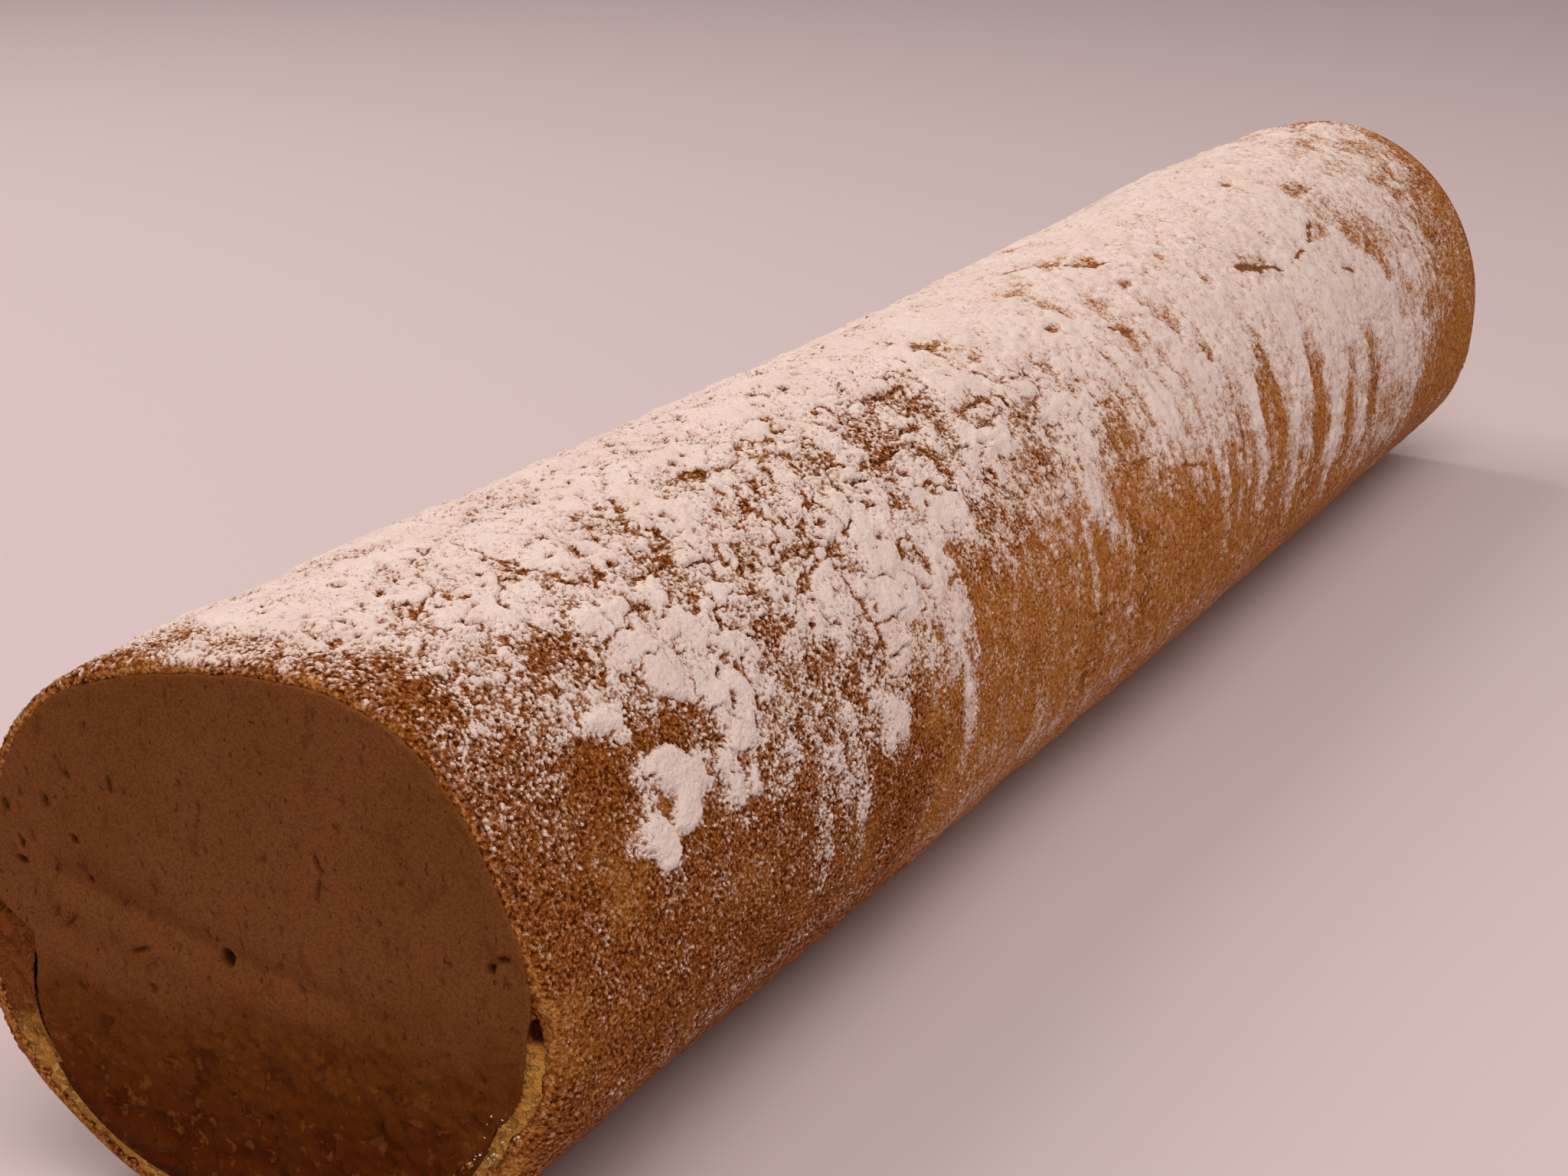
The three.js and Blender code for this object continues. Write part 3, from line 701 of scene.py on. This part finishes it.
for share, tone in (
        # Baked brown at the skin and a chocolate stain at the inner side, with painted shade in the crevices
        (eased(varied(marked(spot, "baked_and_crevice_shade"), coarse, 0.9), 0.25, 0.85), (0.240, 0.070, 0.014)),
        (sums("MULTIPLY", pit, 0.5), (0.220, 0.065, 0.010)),
        # Darker where the cut face is pushed in by noise and air holes, darkest in the torn hole: painted
        # shade.
        (eased(torn, 0.10, 0.60, 0.0, 0.60), (0.210, 0.058, 0.008)),
        (eased(torn, 0.6, 1.3), (0.085, 0.016, 0.003))):
    yellow = blended(share, yellow, tone)
dress(yellow, 0.9, 0.1, sums("SUBTRACT", pores["Fine"], sums("MULTIPLY", pit, 1.2)))
crumb.data.materials.append(sponge_crumb)
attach(crumb, "root")

# The filling: whipped chocolate truffle piped on the sheet before it was rolled, then levelled at both
# cuts with a knife, which left a soft trough, torn bubbles and a thin smear over the sponge's edge.
CORE_AROUND, FACE_RINGS, BACK_RINGS, SMEAR_INSET = 720, 100, 22, 0.9
# Torn bubbles: across, height, half width, half height, depth
BUBBLES = (
    (2.8, 40.3, 0.95, 1.35, 1.9), (13.7, 34.2, 0.9, 0.8, 0.6), (16.7, 61.2, 0.5, 1.2, 0.9),
    (26.1, 57.6, 0.5, 0.9, 1), (22.6, 53, 0.6, 0.6, 1.1), (30.5, 48.9, 0.9, 0.6, 1.2),
    (30.2, 51.2, 0.5, 0.9, 0.7), (22.6, 61.6, 0.6, 0.8, 0.6), (19.2, 68.5, 0.35, 0.8, 0.5),
    (21.2, 47.6, 0.55, 0.7, 0.5), (-21.3, 54.7, 0.5, 0.5, 0.4), (-23.7, 54.7, 0.4, 0.7, 0.35),
    (-27, 45.3, 0.45, 0.4, 0.4), (-30.4, 30.7, 0.45, 0.7, 0.5), (-32.3, 45.7, 0.55, 0.8, 0.9),
    (-33.9, 47.2, 0.9, 0.35, 0.7), (32, 56.1, 0.7, 1, 0.8), (6.7, 75.6, 0.4, 0.4, 0.35),
    (-11.7, 75, 0.5, 0.5, 0.3), (-10.4, 70.9, 0.35, 1, 0.35), (-29.1, 25.1, 0.5, 0.8, 0.5),
    (-2, 58, 0.35, 0.5, 0.25), (9, 22, 0.5, 0.4, 0.4), (-14, 20, 0.6, 0.5, 0.4))
# Scratches: across and height of both ends
SCRATCHES = (
    (22.9, 43.1, 26.1, 39.8), (13, 40.2, 17, 38.4), (-31.8, 45.2, -33, 46.6), (-33, 46.6, -34.8, 47.8),
    (25.6, 44, 27.2, 41), (-10.2, 57.2, -10.9, 54), (-10.9, 54, -9.9, 49.8))
SCRATCH_DEEP, SCRATCH_HALF = 0.85, 0.30
# The trough's bent line: across towards the front flank, height
TROUGH_LINE = ((-26, 48.6), (-10, 43.6), (-3, 41.2), (5, 39.5), (15, 36.7), (25, 34.2), (32, 32.8))
core_turns = even_turns(CORE_AROUND)
core_y, core_z = moved_out(*even_section(core_turns), -SPONGE - CLEARANCE)


def knife_marks(y, z):
    """How far the cut face is hollowed: a trough on a bent line with two low swells under it, round bowls
    with raised rims at the bubbles, thin scratches."""
    below = read_table(TROUGH_LINE, -y) - z
    upper_reach = 1.9 + 1.5 * ease(8, -22, -y)
    trough = 0.42 * bell(below, 0, np.where(below > 0, 1.5, upper_reach))
    trough = trough - 0.38 * bell(below, 4.2, 2.6) - 0.20 * bell(below, 11.5, 3.0)
    hollow = ease(-31, -24, -y) * ease(30, 4, -y) * trough
    for middle_y, middle_z, half_y, half_z, depth in BUBBLES:
        reach = np.hypot((y - middle_y) / half_y, (z - middle_z) / half_z)
        hollow = hollow + depth * np.sqrt(np.clip(1 - reach**2, 0, 1)) - 0.06 * bell(reach, 1.25, 0.3)
    for y0, z0, y1, z1 in SCRATCHES:
        span = np.hypot(y1 - y0, z1 - z0)
        share = np.clip(((y - y0) * (y1 - y0) + (z - z0) * (z1 - z0)) / span**2, 0, 1)
        off = np.hypot(y - y0 - share * (y1 - y0), z - z0 - share * (z1 - z0))
        taper = np.sin(np.pi * np.clip(share, 0.08, 0.92))
        hollow = hollow + SCRATCH_DEEP * bell(off, 0, SCRATCH_HALF) * taper
    return hollow


def end_rows(at_back):
    """One end of the filling, from the middle of its face, roughened by noise and at the front by the knife,
    out over the torn edge of its smear to the core; and how deep each point is hollowed."""
    outline_y, outline_z = crust_outline(core_turns, LENGTH if at_back else 0.0, 9.0 if at_back else 0.0)
    angle = section_degrees(core_turns)
    inset = np.full(CORE_AROUND, SMEAR_INSET + RIM_DROP) if at_back else read_table(SMEAR_LINE, angle)
    torn = rough_sum(np.stack([outline_y, outline_z, 0 * outline_y], -1), (0.22, 5, 51), (0.14, 1.6, 52))
    ragged = 0 if at_back else ease(55, 40, angle) * ease(5, 12, angle)
    inset = np.maximum(inset - torn * (1 + 1.8 * ragged) + 0.4 * ragged, 0.25)
    thick = SMEAR - (0 if at_back else 0.45 * bare_share(core_turns)) + 1.6 * ease(5.4, 7, inset)
    rim_y, rim_z = moved_out(outline_y, outline_z, -inset)
    short_y, short_z = moved_out(rim_y, rim_z, -0.3)
    shares = np.linspace(0.02, 1.0, BACK_RINGS if at_back else FACE_RINGS)[:, None]
    y, z = short_y * shares, MIDDLE + (short_z - MIDDLE) * shares
    face = np.stack([y, z, np.zeros_like(y)], -1)
    tears = rough_noise(face * (1.0, 0.5, 1.0), 1.4, 55) + 0.25 * rough_noise(face, 9, 57)
    hollow = rough_sum(face, (0.10, 16, 53), (0.04, 4, 54)) + 0.42 * ease(0.42, 0.80, tears)
    hollow = hollow + 0.85 * ease(38, 18, z) * np.maximum(0, rough_noise(face, 3.4, 56))
    hollow = hollow + 0.30 * ease(36, 22, z) * rough_noise(face * (0.35, 1.0, 1.0), 2.2, 58)
    hollow = hollow + 0.34 * ease(44, 26, z) * rough_noise(face, 1.5, 59)
    hollow = hollow + (0 if at_back else knife_marks(y, z))
    hollow = np.maximum(hollow, -0.45) * ease(1.0, 0.97, shares)
    near_y, near_z = moved_out(rim_y, rim_z, -0.08)
    edge_in = np.array([0.10, 0.35, 0.7, 1.0])[:, None] * thick
    inwards = np.concatenate([hollow, edge_in, edge_in[-1:]])
    ring_y = np.concatenate([y, [near_y, rim_y, rim_y, rim_y, core_y]])
    ring_z = np.concatenate([z, [near_z, rim_z, rim_z, rim_z, core_z]])
    rows = placed(ring_y, ring_z, LENGTH - inwards if at_back else inwards)
    depth = np.concatenate([hollow, np.zeros((len(rows) - len(hollow), CORE_AROUND))])
    return (rows[::-1], depth[::-1]) if at_back else (rows, depth)


core_rows = placed(core_y, core_z, np.linspace(6.0, LENGTH - 6.0, 4)[:, None])
hubs = placed(0.0, MIDDLE, np.array([0.0, LENGTH]))
(front_rows, front_depth), (back_rows, back_depth) = end_rows(False), end_rows(True)
filling = tube_piece("filling_truffle", np.concatenate([front_rows, core_rows, back_rows]), hubs)
no_depth = np.zeros(core_rows[..., 0].size)
mark(filling, "hollow", np.concatenate([front_depth.ravel(), no_depth, back_depth.ravel(), [0, 0]]))
truffle, spot = new_finish("truffle")
upright = add_node(spot, "ShaderNodeMapping", {"Vector": spot, "Scale": (1.0, 1.0, 0.55)}).outputs["Vector"]
cloud, paste_grain = cloudy(spot, 45.0, 3.0), cloudy(spot, 2600.0)
mottle, specks = cloudy(upright, 420.0, 3.0), cloudy(upright, 1300.0)
blots, flecks = cloudy(spot, 260.0, 3.0, 0.62), cloudy(spot, 520.0)
height_up = varied(add_node(spot, "ShaderNodeSeparateXYZ", {0: spot}).outputs[2], cloud, 0.024)
depth_for_shade_and_highlight = marked(spot, "hollow")
brown = blended(eased(cloud, 0.35, 0.65), (0.200, 0.076, 0.0195), (0.230, 0.082, 0.0265))
# Tones laid over one another: the measure that brings each in, from, to, its share at most, colour
for measure, low, high, most, tone in (
        # These two tones darken the face towards the bottom: painted shade.
        (height_up, 0.044, 0.026, 0.92, (0.143, 0.040, 0.0040)),
        (height_up, 0.029, 0.014, 0.95, (0.098, 0.0170, 0.0008)),
        # Dark blots and light flecks low on the face: painted shade and painted highlight on its rough
        # relief.
        (blots, 0.50, 0.60, eased(height_up, 0.038, 0.022, 0.0, 0.75), (0.055, 0.0090, 0.0008)),
        (flecks, 0.56, 0.66, eased(height_up, 0.038, 0.022, 0.0, 0.6), (0.260, 0.085, 0.0180)),
        # Darker where the face is hollowed, darkest in deep bubbles and scratches, lighter where it stands
        # up: painted shade and painted highlight.
        (depth_for_shade_and_highlight, -0.05, -0.45, 0.22, (0.300, 0.110, 0.030)), (depth_for_shade_and_highlight, 0.12, 0.50, 0.46, (0.105, 0.030, 0.0055)),
        (depth_for_shade_and_highlight, 0.55, 1.20, 0.75, (0.045, 0.010, 0.0020)),
        (paste_grain, 0.40, 0.66, 0.45, (0.085, 0.025, 0.0045)),
        (mottle, 0.56, 0.74, 0.50, (0.100, 0.028, 0.0060)), (specks, 0.64, 0.74, 0.6, (0.055, 0.015, 0.003))):
    brown = blended(eased(measure, low, high, 0.0, most), brown, tone)
paste_level = sums("MULTIPLY_ADD", paste_grain, 0.6, sums("MULTIPLY", mottle, 0.5))
paste_level = sums("MULTIPLY_ADD", eased(specks, 0.64, 0.74), -0.8, paste_level)
dress(brown, eased(mottle, 0.3, 0.7, 0.58, 0.70), 0.03, paste_level, 0.7, 0.0004)
filling.data.materials.append(truffle)
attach(filling, "root")
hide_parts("filling")

# The icing sugar: fine white powder sieved on last. On the near half it lies loose on the crust's beads, caps
# them, fills the gaps and heaps up in small drifts with open pits; farther on it is a thin film over coarser
# beads, with tongues down both flanks.
BEAD, FAR_BEAD, BEAD_DEEP, FAR_BEAD_DEEP = 0.54, 1.15, 0.44, 0.50
SUGAR_REACH = 206  # the sheets end at this turn on the front flank, and as far down on the back
COARSE_STEP, BORDER_STEPS, SUNK, UNDERSIDE, MOST_HEIGHT = 8, 4, 0.4, 0.55, 2.0
NEAR_END, FRONT_SKIPPED = 152, 2  # sheets that stop before this distance carry the small beads
# Sheets from the front to the back: start, stop, steps along and across
DRIFTS = (
    (0.5, 26.8, 128, 720), (25.2, 51.8, 128, 720), (50.2, 76.8, 128, 720), (75.2, 101.8, 128, 720),
    (100.2, 126.8, 128, 720), (125.2, 151, 128, 720), (147, 262, 248, 392), (258, 398, 256, 376))


def bead_field(along, walk, size, seed):
    """Beads packed side by side, 1 on the top of a tall one, 0 in the gaps: the highest of the round domes
    about one jittered point in each cell of a square lattice, each of its own height; and its own number."""
    draw = np.random.default_rng(seed)
    jitter, tall = draw.uniform(0.0, 1.0, (512, 512, 2)), draw.uniform(0.35, 1.0, (512, 512))
    own = draw.random((512, 512))
    a, b = along / size, walk / size
    cell_a, cell_b = np.floor(a).astype(np.int64), np.floor(b).astype(np.int64)
    height, lot = np.zeros_like(along), np.full_like(along, 0.5)
    for step_a, step_b in np.ndindex(3, 3):
        at_a, at_b = cell_a + step_a - 1, cell_b + step_b - 1
        pick = (at_a & 511, at_b & 511)
        reach = (at_a + jitter[pick][..., 0] - a) ** 2 + (at_b + jitter[pick][..., 1] - b) ** 2
        dome = tall[pick] * np.clip(1 - reach / 0.50, 0, 1) ** 0.8
        lot = np.where(dome > height, own[pick], lot)
        height = np.maximum(height, dome)
    return height, lot


def sugar_height(points, cover, wiped, along, grains=0.5, lots=0.5):
    """Height over the skin in millimetres, and the sugar shown. Near: beads stand out of the skin, the sugar
    that fills over them flattens them, deeper where more lies, and small pits stay open. Far: the cover less
    a threshold, over coarser beads. A dab is heaped up and smooth."""
    near = ease(151, 143, along)
    bead, lot = grains - 0.5, lots - 0.5
    lumps = rough_sum(points, (0.16, 6, 61), (0.22, 2.6, 62))
    lumps = lumps + 0.14 * (2 - near) * rough_noise(points, 1.2, 63)
    pits = near * ease(0.42, 0.62, rough_noise(points, 2.1, 66)) * (1 - 0.6 * wiped) * ease(1.3, 0.95, cover)
    near_weight = 0.62 - 0.35 * wiped - 0.15 * ease(0.6, 0.9, cover)
    amount = cover + 0.5 * lumps + near * (near_weight * bead + 0.32 * lot) - 0.85 * pits
    amount = amount + (1 - near) * (0.30 * bead + 0.30 * lot)
    body = cover + lumps * (1 - 0.6 * ease(0.95, 1.3, cover)) - 0.52 - 0.24 * wiped
    heap = 0.42 * ease(0.85, 1.25, cover)
    filled = ease(-0.05, 0.45, body)
    close = 0.26 + BEAD_DEEP * bead * (1 - 0.35 * filled) * (1 - 0.5 * wiped) - 0.45 * pits
    close = close + (0.62 - 0.35 * wiped) * filled * ease(-0.02, 0.22, amount - 0.48) + heap
    film = np.maximum(0.72 * body + 0.16 * ease(0.0, 0.25, body) + heap, 0.0) + 0.16
    film = film + FAR_BEAD_DEEP * bead * (1 - 0.75 * filled)
    return film + (close - film) * near, amount


def sugar_drift(name, start, stop, steps_along, steps_across, skipped):
    """A closed sheet: a fine grid of the top between limits on both flanks, sunk into the skin all round its
    border (at the front less the skipped steps), over a coarse underside; many-sided faces join the two."""
    low, high = walk_round(np.radians(180 - SUGAR_REACH)), walk_round(np.radians(SUGAR_REACH))
    walk = np.tile(low + (high - low) * np.linspace(0, 1, steps_across + 1), (steps_along + 1, 1))
    turn = turn_after(walk)
    first = np.maximum(start, front_line(turn) + 0.1)
    along = first + (stop - first) * np.linspace(0, 1, steps_along + 1)[:, None]
    _, from_cut, smooth = skin_at(along, turn)
    cover, wiped = sugar_cover(along, turn, walk, smooth), wiped_share(along, turn)
    relief, crack = crust_relief(along, walk, smooth, from_cut), crack_mask(along, turn, 1.25)
    stir = 0.45 * rough_noise(smooth, 2.4, 64)
    grains, lots = bead_field(along + stir, walk + 0.6 * stir, BEAD if stop < NEAR_END else FAR_BEAD, 65)
    height, amount = sugar_height(smooth, cover, wiped, along, grains, lots)
    height = height - (0.9 - 0.6 * ease(FAR_FROM, FAR_TO, along)) * crack
    row, column = np.arange(steps_along + 1)[:, None], np.arange(steps_across + 1)
    steps_in = np.minimum(np.minimum(row + skipped, row[::-1]), np.minimum(column, column[::-1]))
    border = ease(0, BORDER_STEPS, steps_in)
    height = np.clip(height, -SUNK, MOST_HEIGHT) * border - SUNK * (1 - border)
    top = crust_points(turn, along, from_cut, relief + height)
    pick = (slice(None, None, COARSE_STEP), slice(None, None, COARSE_STEP))
    base = crust_points(turn[pick], along[pick], from_cut[pick], relief[pick] - UNDERSIDE)
    index = np.arange(top[..., 0].size).reshape(along.shape)
    lower = index.size + np.arange(base[..., 0].size).reshape(base.shape[:2])
    quads = lambda g: np.stack([g[:-1, :-1], g[:-1, 1:], g[1:, 1:], g[1:, :-1]], -1).reshape(-1, 4)
    faces = [quads(index), quads(lower)[:, ::-1]]
    for way in (np.s_[0, ::-1], np.s_[-1, :], np.s_[:, 0], np.s_[::-1, -1]):
        fine_line, coarse_line = index[way], lower[way]
        at = np.arange(len(coarse_line) - 1)[:, None] * COARSE_STEP + np.arange(COARSE_STEP + 1)
        faces.append(np.concatenate([fine_line[at], coarse_line[1:, None], coarse_line[:-1, None]], 1))
    corners = np.concatenate([group.ravel() for group in faces])
    sizes = np.concatenate([np.full(len(group), group.shape[1]) for group in faces])
    drift = new_piece(name, np.concatenate([top.reshape(-1, 3), base.reshape(-1, 3)]), corners, sizes)
    for label, values in (("sugar", amount), ("wiped", wiped), ("crack", crack), ("grain", grains)):
        mark(drift, label, np.concatenate([values.ravel(), np.zeros(lower.size)]))
    return drift


icing_sugar = sugared_finish("icing_sugar", (0.45, 0.50), beaded=True)
for number, limits in enumerate(DRIFTS, 1):
    drift = sugar_drift(f"icing_sugar_{number}", *limits, skipped=FRONT_SKIPPED if number == 1 else 0)
    drift.data.materials.append(icing_sugar)
    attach(drift, "root")

# The sugar clods: small lumps of icing sugar that stuck together in the sieve. They lie where the dusting
# is thin and along its torn edges, a few on the bare flanks and on the cut edge at the lower corner.
CLODS, CLODS_ON_CUT, TRIES = 3200, 24, 90000
CLOD_RADIUS, CLOD_SPREAD, CLOD_LIMITS = 0.19, 0.36, (0.10, 0.50)
GOLDEN_RATIO = (1 + 5**0.5) / 2
ball = np.array([(s, t * GOLDEN_RATIO, 0.0) for s in (-1, 1) for t in (-1, 1)])
BALL_POINTS = np.concatenate([np.roll(ball, k, axis=1) for k in range(3)]) / math.hypot(1, GOLDEN_RATIO)
beside = np.linalg.norm(BALL_POINTS[:, None] - BALL_POINTS[None], axis=-1) < 1.1
BALL_FACES = np.argwhere(beside[:, :, None] & beside[:, None] & beside[None])
BALL_FACES = BALL_FACES[(np.diff(BALL_FACES, axis=1) > 0).all(axis=1)]
a, b, c = (BALL_POINTS[BALL_FACES[:, k]] for k in range(3))
inside_out = np.sum(np.cross(b - a, c - a) * a, axis=1) < 0
BALL_FACES[inside_out] = BALL_FACES[inside_out][:, ::-1]


def lump_piece(name, middles, radii, draw):
    """One mesh of small lumps: a twenty-sided ball at each middle, turned at random, squeezed and dented."""
    count = len(middles)
    turned, _ = np.linalg.qr(draw.normal(size=(count, 3, 3)))
    turned *= np.sign(np.linalg.det(turned))[:, None, None]
    dents = draw.uniform(0.72, 1.18, (count, 12, 1)) * draw.uniform(0.7, 1.25, (count, 1, 3))
    points = middles[:, None] + radii[:, None, None] * np.einsum("nij,nkj->nki", turned, BALL_POINTS * dents)
    corners = (np.arange(count)[:, None, None] * 12 + BALL_FACES).reshape(-1)
    return new_piece(name, points.reshape(-1, 3), corners, np.full(count * 20, 3))


draw = np.random.default_rng(71)
along = 2.5 + 392 * draw.random(TRIES) ** 1.5
turn = np.radians(draw.uniform(-6, 205, TRIES))
walk, from_cut, smooth = skin_at(along, turn)
cover, wiped = sugar_cover(along, turn, walk, smooth), wiped_share(along, turn)
height = np.maximum(sugar_height(smooth, cover, wiped, along)[0], 0) - 0.9 * crack_mask(along, turn, 1.0)
chance = (4 * np.clip(cover * (1 - cover), 0, 1)) ** 2 * ease(0.2, 0.5, cover) * (1 - 0.75 * wiped) + 0.02
taken = np.flatnonzero(draw.random(TRIES) < 0.5 * chance)[:CLODS]
radii = np.exp(draw.normal(math.log(CLOD_RADIUS), CLOD_SPREAD, len(taken))).clip(*CLOD_LIMITS)
radii = radii * (1 - 0.35 * wiped[taken]) * (0.65 + 0.35 * ease(0.2, 0.5, cover[taken]))
lifted = crust_relief(along, walk, smooth, from_cut)[taken] + height[taken] + 0.25 * radii
middles = crust_points(turn[taken], along[taken], from_cut[taken], lifted)
cut_inset = draw.uniform(0.3, 4.6, CLODS_ON_CUT)
cut_turn = np.radians(draw.uniform(198, 224, CLODS_ON_CUT))
cut_y, cut_z = moved_out(*crust_outline(cut_turn, 0.0, 0.0), -cut_inset)
middles = np.concatenate([middles, placed(cut_y, cut_z, 0.05 + 1.2 * ease(3.2, 0.3, cut_inset))])
radii = np.concatenate([radii, draw.uniform(0.08, 0.22, CLODS_ON_CUT)])
sugar_clods = lump_piece("sugar_clods", middles, radii, draw)
clod_sugar, spot = new_finish("clod_sugar")
powder = eased(cloudy(spot, 1500.0), 0.3, 0.7)
dress(blended(powder, (0.72, 0.60, 0.52), (0.88, 0.78, 0.72)), 0.95, 0.1)
sugar_clods.data.materials.append(clod_sugar)
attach(sugar_clods, "root")

# The crumbs: bits that the knife tore from the sponge's cut edge. They cling to the cut at the lower corner
# and along the rim beside it, and a few have rolled on to the crust behind the cut.
CRUMBS_ON_CUT, CRUMBS_ON_CRUST, RIM_INSET = 110, 40, 0.4
draw = np.random.default_rng(72)
cut_degrees = draw.uniform(192, 236, CRUMBS_ON_CUT)
at_rim = draw.random(CRUMBS_ON_CUT) < 0.5
torn_line = np.where(at_rim, RIM_INSET, read_table(SMEAR_LINE, cut_degrees))
torn_line = torn_line + draw.normal(0, 0.35, CRUMBS_ON_CUT)
cut_outline = crust_outline(np.radians(cut_degrees), 0.0, 0.0)
cut_y, cut_z = moved_out(*cut_outline, -np.maximum(torn_line, 0.1))
cut_along = draw.uniform(0.0, 0.4, CRUMBS_ON_CUT) + 0.9 * at_rim
cut_middles = placed(cut_y, np.maximum(cut_z, 0.8), cut_along)
along = 2.0 + 26 * draw.random(CRUMBS_ON_CRUST) ** 1.6
turn = np.radians(draw.uniform(30, 215, CRUMBS_ON_CRUST))
walk, from_cut, smooth = skin_at(along, turn)
height = sugar_height(smooth, sugar_cover(along, turn, walk, smooth), 0 * along, along)[0]
lifted = crust_relief(along, walk, smooth, from_cut) + np.maximum(height, 0) + 0.1
crust_middles = crust_points(turn, along, from_cut, lifted)
radii = [draw.uniform(0.10, 0.30, CRUMBS_ON_CUT), draw.uniform(0.12, 0.26, CRUMBS_ON_CRUST)]
middles = np.concatenate([cut_middles, crust_middles])
cake_crumbs = lump_piece("cake_crumbs", middles, np.concatenate(radii), draw)
torn_crumb, spot = new_finish("torn_crumb")
tone = eased(cloudy(spot, 260.0), 0.38, 0.62)
dress(blended(tone, (0.230, 0.075, 0.016), (0.560, 0.280, 0.066)), 0.9, 0.1)
cake_crumbs.data.materials.append(torn_crumb)
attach(cake_crumbs, "root")
